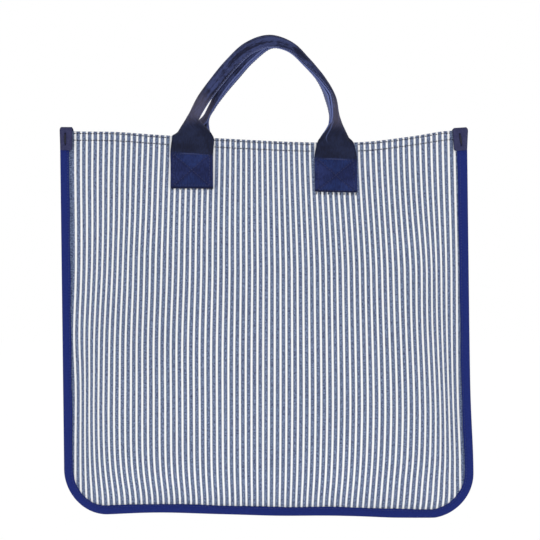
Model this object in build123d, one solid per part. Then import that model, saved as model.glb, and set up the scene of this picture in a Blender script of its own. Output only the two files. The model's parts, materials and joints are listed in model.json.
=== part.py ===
from build123d import *
import os
from math import asin, atan2, cos, degrees, hypot, radians, sin

# A canvas tote: two panels bound together round the sides and the bottom, a webbing handle
# sewn to each panel, and a leather tab over each end of the binding. Millimetres, +Z up,
# +X to the right when the front is seen, front panel towards -Y. The bag is drawn standing
# on its bottom edge and is moved at the end, so that the origin is the place it hangs from.

# Panels
bag_width = 380.0           # over the binding
bag_height = 358.0          # bottom edge to the mouth's corners
corner_radius = 41.0        # bottom corners, outside the binding
canvas = 1.2                # thickness of the cloth
belly_depth = 29.0          # swell of each panel at its fullest
mouth_depth = 17.0          # swell of each panel at the mouth
belly_top = 150.0           # the swell starts to lessen above this height
swell_run = 27.0            # how gently the swell rises away from the seam
mouth_sag = 10.0            # the mouth's edge hangs this far below its corners
hem_height = 9.0            # turned-in cloth along the mouth

# Binding and tabs
tape = 0.9                  # thickness of the binding tape
binding_width = 8.5         # finished width on each face
flat_margin = 1.0           # the cloth stays flat this far past the binding
leather = 1.5
tab_width = 12.5
tab_drop = 18.5             # tab below the mouth's corner
tab_overhang = 0.3          # tab past the binding's outer edge
tab_corner = 2.5

# Handles
webbing_width = 39.0
webbing = 2.2               # thickness of the strip
sewn_length = 32.5          # flat end sewn to the panel
sewn_drop = 14.5            # top line of the sewn box, below the mouth's edge
handle_spacing = 132.5      # between the centres of the two ends
handle_rise = 94.5          # centre of the grip above the mouth's edge
flare_height = 24.0         # the strip is folded into the grip over this height
flare_inset = 4.0           # the folded strip starts this far inside its sewn end
grip_width = 13.0           # folded strip
grip_thickness = 8.0
strip_rounding = 0.45       # corner radius of the strip's section, as a share of its thickness
crown_radius = 34.0         # top of the arch, at the middle of the strip
crown_half_angle = 45.0     # the crown's arc reaches this far to each side

# Threads
thread = 0.5                # thickness of a sewn row
row_width = 0.7
hem_row = 1.2               # first row below the mouth's edge
hem_row_step = 6.7          # second row below the first
binding_row = 7.0           # row in from the binding's outer edge
box_margin = 3.0            # box stitch inside the sewn end
bar_length = 10.5           # bar stitch through a tab
bar_drop = 2.0              # its upper end below the mouth's corner
bar_thread = 0.8

# Clearances
sewn_gap = 0.15             # between layers that are sewn together
swing_gap = 0.3             # between a handle and what it swings past
thread_gap = 0.1            # under a sewn row
crown_gap = 1.0             # between the two handles where they lean together

half_width = bag_width / 2
flange = binding_width + flat_margin                # flat cloth along the seam
seam_half = sewn_gap / 2 + canvas                   # seam plane to the cloth's outer face
channel_half = seam_half + sewn_gap                 # inside of the folded tape
binding_half = channel_half + tape
tab_inner = binding_half + sewn_gap                 # inside of the folded leather
tab_half = tab_inner + leather
tab_top = bag_height + sewn_gap + tab_half
tab_bottom = bag_height - tab_drop
tab_centre = half_width + tab_overhang - tab_width / 2
cloth_inset = tape + sewn_gap                       # cloth edge inside the fold of the tape
hem_share = (canvas + swing_gap) / mouth_depth      # swell that leaves room for the hem's second layer
hem_inset = flange + swell_run * (hem_share / (1 - hem_share)) ** (1 / 3)
handle_x = handle_spacing / 2
reach = 2 * (belly_depth + bag_width)               # longer than anything it cuts


def mouth_height(x):
    """Height of the sagging mouth edge at x: the arc through its corners and its middle."""
    radius = (half_width**2 + mouth_sag**2) / (2 * mouth_sag)
    return bag_height - mouth_sag + radius - (radius**2 - x**2) ** 0.5


def seam_distance(x, z):
    """Rounded distance from the seam, measured in from the flat flange."""
    side = half_width - abs(x)
    return max(0.0, side + z - hypot(side, z) - flange)


def bulge(x, z):
    """How far a panel's inner face stands away from the seam plane."""
    rise = seam_distance(x, z) ** 3
    along = min(1.0, max(0.0, (z - belly_top) / (bag_height - belly_top)))
    ease = along * along * (3 - 2 * along)
    depth = belly_depth + (mouth_depth - belly_depth) * ease
    return depth * rise / (rise + swell_run**3)


def swell_face():
    """The front panel's inner surface, with a margin all round for trimming."""
    margin = 12.0
    columns = 63
    rows = 60
    width = bag_width + 2 * margin
    height = bag_height + 2 * margin
    grid = []
    for row in range(rows):
        z = -margin + height * row / (rows - 1)
        line = []
        for column in range(columns):
            x = -width / 2 + width * column / (columns - 1)
            line.append((x, -bulge(x, z) - sewn_gap / 2, z))
        grid.append(line)
    return Face.make_surface_from_array_of_points(grid, tol=0.01, min_deg=3, max_deg=3)


panel_inner = swell_face()


def prism(sketch):
    """A front view outline, drawn in x and height, carried right through the bag."""
    return extrude(Plane.XZ * sketch, amount=reach, both=True)


def layer(sketch, start, thickness):
    """A sheet that follows the front panel, start outside the cloth's inner face, cut to an outline."""
    sheet = Solid.extrude(Pos(0, -start, 0) * panel_inner, Vector(0, -thickness, 0))
    return Part() + (sheet & prism(sketch))


def slab(sketch, start, thickness):
    """A flat layer with a front view outline, start in front of the seam plane."""
    return extrude(Pos(0, -start, 0) * (Plane.XZ * sketch), amount=thickness)


def bag_outline(inset, top):
    """The bag's outline in from its outer edge, open-ended at the given height."""
    width = bag_width - 2 * inset
    height = top - inset
    shape = Pos(0, inset + height / 2) * Rectangle(width, height)
    return fillet(shape.vertices().group_by(Axis.Y)[0], corner_radius - inset)


def below_mouth(drop):
    """Everything lower than the mouth's edge less a drop."""
    edge = ThreePointArc(
        (-half_width, bag_height - drop),
        (0, bag_height - mouth_sag - drop),
        (half_width, bag_height - drop),
    )
    sides = Polyline(edge @ 1, (half_width, -flange), (-half_width, -flange), edge @ 0)
    return make_face(edge + sides)


def rectangle_at(x, z_low, width, height):
    return Pos(x, z_low + height / 2) * Rectangle(width, height)


def to_back(front):
    return mirror(front, about=Plane.XZ)


def to_right(left):
    return mirror(left, about=Plane.YZ)


# Bar stitches: a thread loop through each tab, the tape and both cloths
bar_top = bag_height - bar_drop
bar_bottom = bar_top - bar_length
bar_front = tab_half + thread_gap + bar_thread / 2


def bar_stitch():
    across = Plane.YZ.offset(-tab_centre) * Pos(0, (bar_top + bar_bottom) / 2)
    outside = RectangleRounded(2 * bar_front + bar_thread, bar_length + bar_thread, bar_thread / 2)
    inside = Rectangle(2 * bar_front - bar_thread, bar_length - bar_thread)
    return extrude(across * (outside - inside), amount=bar_thread / 2, both=True)


def bar_holes():
    hole_width = bar_thread + 2 * sewn_gap
    hole = Box(hole_width, reach, hole_width)
    places = [(x, z) for x in (-tab_centre, tab_centre) for z in (bar_bottom, bar_top)]
    return [Pos(x, 0, z) * hole for x, z in places]


# Panels
def panel():
    outline = bag_outline(cloth_inset, bag_height) & below_mouth(0)
    cloth = layer(outline, -canvas, 2 * canvas)
    hem_width = bag_width - 2 * hem_inset
    hem_zone = rectangle_at(0, 0, hem_width, bag_height) - below_mouth(hem_height)
    around_hem = rectangle_at(0, -flange, bag_width, bag_height + 2 * flange) - hem_zone
    single_layer = layer(around_hem, -3 * canvas, 3 * canvas)
    return cloth - single_layer - bar_holes()


front_panel = panel()
back_panel = to_back(front_panel)

# Binding: tape folded over the cloth edges, down one side, along the bottom and up the other
binding_outline = bag_outline(0, bag_height) - bag_outline(binding_width, bag_height)
binding_channel = bag_outline(tape, bag_height)
edge_binding = slab(binding_outline, -binding_half, 2 * binding_half)
edge_binding = edge_binding - slab(binding_channel, -channel_half, 2 * channel_half) - bar_holes()


# Leather tabs, folded over the ends of the binding
def tab():
    start = Plane.YZ.offset(-half_width - tab_overhang)
    fold_centre = tab_top - tab_half
    leg = rectangle_at(0, tab_bottom, 2 * tab_half, fold_centre - tab_bottom)
    outer = leg + Pos(0, fold_centre) * Circle(tab_half)
    slot = rectangle_at(0, tab_bottom, 2 * tab_inner, fold_centre - tab_bottom)
    inner = slot + Pos(0, fold_centre) * Circle(tab_inner)
    strip = extrude(start * (outer - inner), amount=tab_width)
    face = rectangle_at(-tab_centre, tab_bottom, tab_width, tab_top - tab_bottom)
    rounded = fillet(face.vertices().group_by(Axis.Y)[0], tab_corner)
    return (strip & prism(rounded)) - bar_holes()


left_tab = tab()
right_tab = to_right(left_tab)
left_bar = bar_stitch()
tab_stitches = left_bar + to_right(left_bar)

# Sewn ends of the handles
end_start = canvas + sewn_gap
hinge_height = mouth_height(handle_x) - sewn_drop
end_top = hinge_height - swing_gap / 2
end_bottom = end_top - sewn_length
end_outline = rectangle_at(-handle_x, end_bottom, webbing_width, sewn_length)
front_left_end = layer(end_outline, end_start, webbing)


def box_stitch():
    width = webbing_width - 2 * box_margin
    height = sewn_length - 2 * box_margin
    low = end_bottom + box_margin
    outer = rectangle_at(-handle_x, low, width, height)
    frame = outer - offset(outer, -row_width)
    centre = Pos(-handle_x, low + height / 2)
    lean = degrees(atan2(height, width))
    cross = Rectangle(hypot(width, height), row_width)
    for angle in (lean, -lean):
        frame += (centre * Rot(0, 0, angle) * cross) & outer
    return layer(frame, end_start + webbing + thread_gap, thread)


left_box = box_stitch()
front_boxes = left_box + to_right(left_box)
handle_box_stitches = front_boxes + to_back(front_boxes)

# Handle loops: flat where they leave the sewn ends, then folded, then an arch
hinge_edge = handle_x - webbing_width / 2
loop_inner = bulge(hinge_edge, hinge_height) + seam_half + swing_gap
loop_middle = loop_inner + webbing / 2
hinge_depth = loop_inner + webbing + swing_gap      # hinge line in front of the strip
base_height = mouth_height(handle_x)
grip_top = handle_rise + grip_width / 2
lean_angle = asin((loop_middle - crown_gap / 2 - grip_thickness / 2) / grip_top)
lean_plane = Plane(
    origin=(0, -loop_middle, base_height),
    x_dir=(1, 0, 0),
    z_dir=(0, -cos(lean_angle), sin(lean_angle)),
)
crown_angle = radians(crown_half_angle)
arch_x = handle_x - flare_inset                     # foot of the arch


def arch_path(inset):
    """Line of the arch in from the middle of the strip, from the left foot to the right."""
    radius = crown_radius - inset
    centre = Vector(0, handle_rise - crown_radius)
    crown_end = centre + Vector(sin(crown_angle), cos(crown_angle)) * radius
    slope = Vector(cos(crown_angle), -sin(crown_angle))
    full_end = centre + Vector(sin(crown_angle), cos(crown_angle)) * crown_radius
    foot = Vector(arch_x, flare_height)
    full_leg = TangentArc(full_end, foot, tangent=slope)
    along = full_leg % 1
    foot = foot + Vector(along.Y, -along.X) * inset
    leg = TangentArc(crown_end, foot, tangent=slope)
    crown = ThreePointArc(
        (-crown_end.X, crown_end.Y), (0, handle_rise - inset), (crown_end.X, crown_end.Y)
    )
    left_leg = mirror(leg, about=Plane.YZ).edge().reversed()
    return lean_plane * Wire([left_leg, crown, leg])


def strip_section(plane, width, thickness):
    return plane * RectangleRounded(width, thickness, thickness * strip_rounding)


def handle_loop():
    path = arch_path(0)
    foot = path @ 0
    upward = path % 0
    across = upward.cross(lean_plane.z_dir)
    foot_plane = Plane(origin=foot, x_dir=across, z_dir=upward)
    start = Vector(-handle_x, -loop_middle, hinge_height + swing_gap / 2)
    mouth = Vector(-handle_x, -loop_middle, base_height)
    flat_start = Plane(origin=start, x_dir=(1, 0, 0), z_dir=(0, 0, 1))
    flat_end = Plane(origin=mouth, x_dir=(1, 0, 0), z_dir=(0, 0, 1))
    half_way = Plane(
        origin=(mouth + foot) * 0.5,
        x_dir=(across + Vector(1, 0, 0)) * 0.5,
        z_dir=(upward + Vector(0, 0, 1)) * 0.5,
    )
    flat_length = (mouth - start).length
    flat = extrude(strip_section(flat_start, webbing_width, webbing), amount=flat_length)
    gather = loft([
        strip_section(flat_end, webbing_width, webbing),
        strip_section(half_way, (webbing_width + grip_width) * 0.5, (webbing + grip_thickness) * 0.5),
        strip_section(foot_plane, grip_width, grip_thickness),
    ])
    left_foot = flat + gather
    grip = sweep(strip_section(foot_plane, grip_width, grip_thickness), path=path)
    return grip + left_foot + to_right(left_foot)


def handle_seam():
    path = arch_path(grip_width / 2 + thread_gap + thread / 2)
    start = Plane(origin=path @ 0, x_dir=lean_plane.z_dir, z_dir=path % 0)
    return sweep(start * Rectangle(row_width, thread), path=path)


front_handle_loop = handle_loop()
front_handle_seam = handle_seam()


# Sewn rows
def hem_rows():
    span = rectangle_at(0, 0, 2 * (tab_centre - tab_width / 2 - row_width), bag_height)
    handle_zone = webbing_width + 2 * sewn_gap + 2 * swing_gap
    for side in (-1, 1):
        span -= rectangle_at(side * handle_x, 0, handle_zone, bag_height)
    rows = Sketch()
    for drop in (hem_row, hem_row + hem_row_step):
        rows += (below_mouth(drop) - below_mouth(drop + row_width)) & span
    return layer(rows, canvas + thread_gap, thread)


def binding_rows():
    top = tab_bottom - row_width
    row = bag_outline(binding_row, top) - bag_outline(binding_row + row_width, top)
    front = slab(row, binding_half + thread_gap, thread)
    return front + to_back(front)


front_hem_seam = hem_rows()

carry_height = (arch_path(grip_width / 2) @ 0.5).Z   # underside of the grip, where the bag hangs
hang = Pos(0, 0, -carry_height)

nodes = {
    "front_panel": front_panel,
    "back_panel": back_panel,
    "edge_binding": edge_binding,
    "left_tab": left_tab,
    "right_tab": right_tab,
    "front_left_handle_end": front_left_end,
    "front_right_handle_end": to_right(front_left_end),
    "back_left_handle_end": to_back(front_left_end),
    "back_right_handle_end": to_back(to_right(front_left_end)),
    "front_handle_loop": front_handle_loop,
    "back_handle_loop": to_back(front_handle_loop),
    "front_handle_seam": front_handle_seam,
    "back_handle_seam": to_back(front_handle_seam),
    "front_hem_seam": front_hem_seam,
    "back_hem_seam": to_back(front_hem_seam),
    "binding_seam": binding_rows(),
    "handle_box_stitches": handle_box_stitches,
    "tab_stitches": tab_stitches,
}

os.makedirs("parts", exist_ok=True)
for name, shape in nodes.items():
    export_step(shape.moved(hang), f"parts/{name}.step")
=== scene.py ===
import json
import math

import bpy
import numpy as np
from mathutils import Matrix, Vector


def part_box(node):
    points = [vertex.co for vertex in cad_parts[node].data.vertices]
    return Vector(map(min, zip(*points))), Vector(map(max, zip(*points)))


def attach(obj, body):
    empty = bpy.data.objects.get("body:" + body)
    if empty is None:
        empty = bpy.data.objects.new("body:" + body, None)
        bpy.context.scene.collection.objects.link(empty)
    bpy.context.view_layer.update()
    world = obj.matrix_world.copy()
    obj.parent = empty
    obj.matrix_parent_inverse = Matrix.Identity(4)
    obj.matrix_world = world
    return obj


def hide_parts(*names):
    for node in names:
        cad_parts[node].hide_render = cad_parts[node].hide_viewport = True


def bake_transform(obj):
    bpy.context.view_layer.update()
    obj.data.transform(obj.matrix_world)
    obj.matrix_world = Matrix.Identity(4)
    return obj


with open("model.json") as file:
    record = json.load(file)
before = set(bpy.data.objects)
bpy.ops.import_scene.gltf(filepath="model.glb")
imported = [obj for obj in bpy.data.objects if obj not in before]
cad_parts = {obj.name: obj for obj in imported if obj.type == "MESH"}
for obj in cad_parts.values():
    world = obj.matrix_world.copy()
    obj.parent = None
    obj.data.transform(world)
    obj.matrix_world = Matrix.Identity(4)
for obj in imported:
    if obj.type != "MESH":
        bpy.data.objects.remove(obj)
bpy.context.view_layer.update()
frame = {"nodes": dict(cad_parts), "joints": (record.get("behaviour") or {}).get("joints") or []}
print("frame loaded,", len(frame["nodes"]), "CAD nodes")

# The bag's own measures, in metres. Heights in this script are from the bag's bottom edge.
tapeLow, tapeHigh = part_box("edge_binding")
endLow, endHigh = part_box("front_left_handle_end")
hinges = {joint["child"]: Vector(joint["pos_m"]) for joint in frame["joints"]}

bag = {
    "halfWidth": tapeHigh.x,
    "bottom": tapeLow.z,
    "height": tapeHigh.z - tapeLow.z,
    "cornerRadius": 0.041,
    "sag": 0.011,  # the mouth's edge hangs this far below its corners
    "canvas": 0.0012,
    "belly": 0.0298,  # swell of each panel at its fullest
    "mouth": 0.0215,  # swell of each panel at the mouth, before it eases in from the sides
    "bellyTop": 0.150,  # the swell lessens above this height
    "flange": 0.0086,  # the cloth is flat this far in from the edge
    "lowRun": 0.0215,  # the swell eases in over this distance in the lower half
    "highRun": 0.058,  # and over this one towards the mouth
    "runChange": (0.09, 0.22),  # one gives way to the other from this height, over this much of it
    "swellPower": 2.1,  # lower is steeper beside the tape
    "lean": 0.0022,  # top to the left, bottom to the right
    "tilt": 0.0021,  # the right bottom corner hangs lower
    "mouthTwist": 0.0028,  # the left half of the mouth is higher
    "mouthZone": 0.13,  # that twist fades out this far below the mouth
    "mouthWave": [  # x, how far the mouth's edge dips there, and half its length
        (-0.140, -0.0014, 0.030), (0.088, 0.0007, 0.030), (0.142, -0.0014, 0.028), (0.168, -0.0022, 0.019),
    ],
    "cornerKick": 0.0022,  # the right bottom corner stands out sideways
    "kickPlace": (0.045, 0.05),  # at this height, and half its length
    "bottomWave": [  # x, how far the bottom edge dips there, and half its length
        (-0.165, 0.0017, 0.032), (-0.095, -0.0010, 0.036), (0.010, 0.0008, 0.034), (0.135, 0.0017, 0.045),
    ],
    "ripples": [  # size of each slow wave in the cloth, its turns across and up, and its start
        (0.0009, 31, 9, 0.6), (0.0007, 52, -17, 2.1), (0.0006, -11, 23, 1.0),
    ],
    "rippleShare": (0.7, 0.5),  # at the bottom, and what is added at the mouth
}


def smooth(t):
    t = np.clip(t, 0.0, 1.0)
    return t * t * (3 - 2 * t)


def ramp(value, start, length):
    return smooth((value - start) / length)


def bell(value, middle, reach):
    return np.exp(-(((value - middle) / reach) ** 2))


def join(*parts):
    return np.stack(np.broadcast_arrays(*parts), axis=-1)


def unit(vectors):
    return vectors / np.linalg.norm(vectors, axis=1, keepdims=True)


def runUp(steps):
    # how far along each point lies, from the steps between them
    return np.concatenate([[0.0], np.cumsum(steps)])


def mouthHeight(x):
    radius = (bag["halfWidth"] ** 2 + bag["sag"] ** 2) / (2 * bag["sag"])
    return bag["height"] - bag["sag"] + radius - np.sqrt(radius**2 - x**2)


def outlineHalf(h):
    # half the bag's width at a height, round the bottom corners
    radius = bag["cornerRadius"]
    below = np.clip(radius - h, 0.0, radius)
    return bag["halfWidth"] - radius + np.sqrt(radius**2 - below**2)


def ripple(x, h):
    waves = sum(size * np.sin(across * x + up * h + start) for size, across, up, start in bag["ripples"])
    atBottom, more = bag["rippleShare"]
    return waves * (atBottom + more * smooth(h / bag["height"]))


def swell(x, h):
    # how far a panel stands off the seam plane
    side = np.maximum(bag["halfWidth"] - np.abs(x), 0.0)
    rise = np.maximum(h, 0.0)
    inner = np.maximum(side + rise - np.hypot(side, rise) - bag["flange"], 0.0)
    power = inner ** bag["swellPower"]
    run = bag["lowRun"] + (bag["highRun"] - bag["lowRun"]) * ramp(h, *bag["runChange"])
    share = power / (power + run ** bag["swellPower"])
    ease = ramp(h, bag["bellyTop"], bag["height"] - bag["bellyTop"])
    depth = bag["belly"] + (bag["mouth"] - bag["belly"]) * ease
    return share * (depth + ripple(x, h))


def settle(points):
    # the small lean and twist of a hanging bag, and the move into the row frame
    x, y, h = points[..., 0], points[..., 1], points[..., 2]
    up = np.clip(h / bag["height"], 0.0, 1.0)
    nearMouth = ramp(h, bag["height"] - bag["mouthZone"], bag["mouthZone"])
    across = x / bag["halfWidth"]
    drop = bag["tilt"] * across * (1 - up) + bag["mouthTwist"] * np.sin(math.pi * across) * nearMouth
    for waves, hold in ((bag["bottomWave"], (1 - up) ** 4), (bag["mouthWave"], nearMouth)):
        for place, dip, reach in waves:
            drop = drop + dip * bell(x, place, reach) * hold
    kick = bag["cornerKick"] * ramp(across, 0.5, 0.5) * bell(h, *bag["kickPlace"])
    return join(x + bag["lean"] * (1 - 2 * up) + kick, y, h - drop + bag["bottom"])


# Shader building blocks

def paint(red, green, blue):
    # a colour as a picture shows it, to the values Blender mixes
    def linear(value):
        value = value / 255
        return value / 12.92 if value <= 0.04045 else ((value + 0.055) / 1.055) ** 2.4
    return (linear(red), linear(green), linear(blue), 1.0)


work = {"tree": None}  # the shader tree that new nodes go into


def newNode(kind):
    return work["tree"].nodes.new(kind)


def feed(socket, value):
    if isinstance(value, bpy.types.NodeSocket):
        work["tree"].links.new(value, socket)
    else:
        socket.default_value = value


def calc(operation, *values):
    node = newNode("ShaderNodeMath")
    node.operation = operation
    for socket, value in zip(node.inputs, values):
        feed(socket, value)
    return node.outputs[0]


def times(first, second):
    return calc("MULTIPLY", first, second)


def opposite(value):
    return calc("SUBTRACT", 1.0, value)


def band(value, low, high):
    # 0 below low, 1 above high, smooth between
    node = newNode("ShaderNodeMapRange")
    node.interpolation_type = "SMOOTHSTEP"
    feed(node.inputs["Value"], value)
    feed(node.inputs["From Min"], low)
    feed(node.inputs["From Max"], high)
    return node.outputs["Result"]


def near(value, core, edge):
    # 1 within core of 0, and 0 beyond edge
    return opposite(band(calc("ABSOLUTE", value), core, edge))


def between(value, start, full, fade, end):
    # 1 from full to fade, and 0 before start and after end
    return times(band(value, start, full), opposite(band(value, fade, end)))


def mixColor(factor, first, second):
    node = newNode("ShaderNodeMix")
    node.data_type = "RGBA"
    feed(node.inputs[0], factor)
    feed(node.inputs[6], first)
    feed(node.inputs[7], second)
    return node.outputs[2]


def tint(color, mask, share, second):
    return mixColor(times(mask, share), color, second)


def noiseAt(vector, scale, detail):
    node = newNode("ShaderNodeTexNoise")
    feed(node.inputs["Vector"], vector)
    feed(node.inputs["Scale"], scale)
    feed(node.inputs["Detail"], detail)
    return node.outputs["Fac"]


def splitFlat(vector):
    node = newNode("ShaderNodeSeparateXYZ")
    feed(node.inputs[0], vector)
    return node.outputs["X"], node.outputs["Y"]


def startGroup(name, inputs, outputs):
    tree = work["tree"] = bpy.data.node_groups.new(name, "ShaderNodeTree")
    for label, value in inputs.items():
        kind = "NodeSocketVector" if value is None else "NodeSocketFloat"
        socket = tree.interface.new_socket(label, in_out="INPUT", socket_type=kind)
        if value is not None:
            socket.default_value = value
    for label in outputs:
        tree.interface.new_socket(label, in_out="OUTPUT", socket_type="NodeSocketFloat")
    return tree, newNode("NodeGroupInput").outputs, newNode("NodeGroupOutput").inputs


def placeGroup(group, **values):
    node = newNode("ShaderNodeGroup")
    node.node_tree = group
    for label, value in values.items():
        feed(node.inputs[label], value)
    return node.outputs


def weaveGroup():
    # yarns over and under each other, on flat cloth coordinates in metres
    sockets = {"Flat": None, "Warp": 0.0006, "Weft": 0.0006, "Repeat": 2.0}
    tree, given, result = startGroup("clothWeave", sockets, ["Height", "Over"])
    x, y = splitFlat(given["Flat"])
    column = calc("DIVIDE", x, given["Warp"])
    row = calc("DIVIDE", y, given["Weft"])
    cell = calc("ADD", calc("FLOOR", column), calc("FLOOR", row))
    over = calc("LESS_THAN", calc("FLOORED_MODULO", cell, given["Repeat"]), 0.5)
    warpRound = calc("ABSOLUTE", calc("SINE", times(column, math.pi)))
    weftRound = calc("ABSOLUTE", calc("SINE", times(row, math.pi)))
    under = opposite(over)
    height = calc("MULTIPLY_ADD", over, warpRound, times(under, weftRound))
    feed(result["Height"], height)
    feed(result["Over"], over)
    return tree


def fleckGroup():
    # uneven yarn: streaks that run along it
    sockets = {"Flat": None, "Across": 0.0006, "Along": 0.004, "Low": 0.38, "High": 0.62}
    tree, given, result = startGroup("yarnFleck", sockets, ["Mask"])
    x, y = splitFlat(given["Flat"])
    streak = newNode("ShaderNodeCombineXYZ")
    feed(streak.inputs["X"], calc("DIVIDE", x, given["Across"]))
    feed(streak.inputs["Y"], calc("DIVIDE", y, given["Along"]))
    patches = noiseAt(streak.outputs[0], 1.0, 2.0)
    feed(result["Mask"], band(patches, given["Low"], given["High"]))
    return tree


def wearGroup():
    # slow patches where cloth or leather has been handled
    sockets = {"Scale": 18.0, "Low": 0.4, "High": 0.65}
    tree, given, result = startGroup("handledWear", sockets, ["Mask"])
    place = newNode("ShaderNodeTexCoord").outputs["Object"]
    patches = noiseAt(place, given["Scale"], 3.0)
    feed(result["Mask"], band(patches, given["Low"], given["High"]))
    return tree


clothWeave = weaveGroup()
yarnFleck = fleckGroup()
handledWear = wearGroup()


def startMaterial(name, specular=0.5):
    material = bpy.data.materials.new(name)
    material.use_nodes = True
    work["tree"] = material.node_tree
    shader = material.node_tree.nodes["Principled BSDF"].inputs
    shader["Specular IOR Level"].default_value = specular
    flat = newNode("ShaderNodeUVMap")
    flat.uv_map = "flat"
    return material, shader, flat.outputs[0]


def addRelief(shader, piece, mask, height):
    # uneven roughness, and the bump of the weave or the grain
    change, rest = piece["rough"]
    feed(shader["Roughness"], calc("MULTIPLY_ADD", mask, change, rest))
    strength, depth = piece["bump"]
    node = newNode("ShaderNodeBump")
    node.inputs["Strength"].default_value = strength
    node.inputs["Distance"].default_value = depth
    feed(node.inputs["Height"], height)
    feed(shader["Normal"], node.outputs["Normal"])


# Mesh building blocks

def finishPiece(name, mesh, material):
    mesh.materials.append(material)
    piece = bpy.data.objects.new(name, mesh)
    bpy.context.scene.collection.objects.link(piece)
    mesh.shade_smooth()
    return piece


def applyModifiers(piece):
    graph = bpy.context.evaluated_depsgraph_get()
    finished = bpy.data.meshes.new_from_object(piece.evaluated_get(graph))
    piece.modifiers.clear()
    piece.data = finished


def makeMesh(name, points, faces, flat):
    # a mesh whose flat coordinates give each point's place on the cloth, in metres
    mesh = bpy.data.meshes.new(name)
    mesh.from_pydata(points.reshape(-1, 3).tolist(), [], faces)
    corners = np.empty(len(mesh.loops), dtype=np.int32)
    mesh.loops.foreach_get("vertex_index", corners)
    layer = mesh.uv_layers.new(name="flat")
    layer.data.foreach_set("uv", flat.reshape(-1, 2)[corners].astype(np.float32).ravel())
    return mesh


def thickSheet(name, points, flat, material, thickness, edge=0.0):
    # a grid of points given thickness to both sides, with its rim rounded by edge
    rows, columns = points.shape[:2]
    index = np.arange(rows * columns).reshape(rows, columns)
    faces = join(index[:-1, :-1], index[:-1, 1:], index[1:, 1:], index[1:, :-1]).reshape(-1, 4).tolist()
    piece = finishPiece(name, makeMesh(name, points, faces, flat), material)
    solid = piece.modifiers.new("thickness", "SOLIDIFY")
    solid.thickness = thickness
    solid.offset = 0.0
    if edge:
        rim = piece.modifiers.new("rim", "BEVEL")
        rim.width = edge
        rim.segments = 2
        rim.limit_method = "ANGLE"
        rim.angle_limit = math.radians(55)
    applyModifiers(piece)
    return piece


def alongPath(path, places):
    # points at given distances along a line of points
    run = runUp(np.linalg.norm(np.diff(path[:, :3], axis=0), axis=1))
    return join(*[np.interp(places, run, column) for column in path.T])


def pathLength(path):
    return float(np.linalg.norm(np.diff(path[:, :3], axis=0), axis=1).sum())


def stitchRun(path, outward, pitch, share=0.72):
    # starts, ends and outward directions of the stitches along a line of points
    count = max(1, int(round(pathLength(path) / pitch)))
    starts = (np.arange(count) + 0.5 * (1 - share)) * pathLength(path) / count
    ends = starts + share * pathLength(path) / count
    middle = alongPath(path, 0.5 * (starts + ends))
    nearest = np.argmin(np.linalg.norm(middle[:, None] - path[None], axis=2), axis=1)
    return alongPath(path, starts), alongPath(path, ends), outward[nearest]


def stitchPiece(name, runs, size, material):
    # every stitch is a short bent thread that dives into the cloth at both ends
    radius, rise = size
    starts, ends, outward = (np.concatenate(part) for part in zip(*runs))
    rings, sides = 7, 6
    tip = 0.35  # thickness at its ends
    t = np.linspace(0.0, 1.0, rings)
    arch = np.sin(math.pi * t)
    centre = starts[:, None] + (ends - starts)[:, None] * t[None, :, None]
    centre = centre + outward[:, None] * (rise * (2 * np.sqrt(arch) - 1))[None, :, None]
    across = np.cross(unit(ends - starts), outward)
    thick = radius * (tip + (1 - tip) * np.sqrt(arch))
    turn = 2 * math.pi * np.arange(sides) / sides
    ring = (
        np.cos(turn)[None, None, :, None] * across[:, None, None]
        + np.sin(turn)[None, None, :, None] * outward[:, None, None]
    )
    points = centre[:, :, None] + ring * thick[None, :, None, None]
    count = len(starts)
    index = np.arange(count * rings * sides).reshape(count, rings, sides)
    turned = np.roll(index, -1, axis=2)
    walls = join(index[:, :-1], turned[:, :-1], turned[:, 1:], index[:, 1:])
    caps = np.concatenate([index[:, 0, ::-1], index[:, -1]])
    faces = walls.reshape(-1, 4).tolist() + caps.tolist()
    length = np.linalg.norm(ends - starts, axis=1)
    flat = join((turn * radius)[None, None], (t * length[:, None])[..., None])
    return finishPiece(name, makeMesh(name, points, faces, flat), material)


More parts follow.
